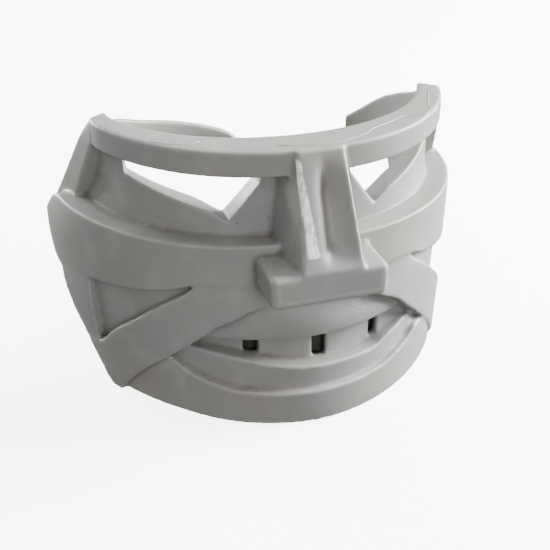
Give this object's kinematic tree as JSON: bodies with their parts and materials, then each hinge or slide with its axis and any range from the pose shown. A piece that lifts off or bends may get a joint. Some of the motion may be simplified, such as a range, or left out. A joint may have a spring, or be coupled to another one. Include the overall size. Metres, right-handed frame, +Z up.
{
  "type": "face mask",
  "caption": "Rigid wrap-around face mask moulded in one piece: raised bands, ridged nose with a square block, wide toothed mouth, and arms that run back round the head.",
  "frame": {"origin": "middle of the bounding box, on the plane of the flat lower rim", "axes": "+Z up from the rim to the brow, the face looks along -Y, +X is the wearer's left"},
  "size_m": [0.1702, 0.1686, 0.1113],
  "materials": {
    "cast_plastic": "satin neutral grey, as cast"
  },
  "bodies": {
    "root": {"face_mask": "cast_plastic"}
  },
  "joints": []
}
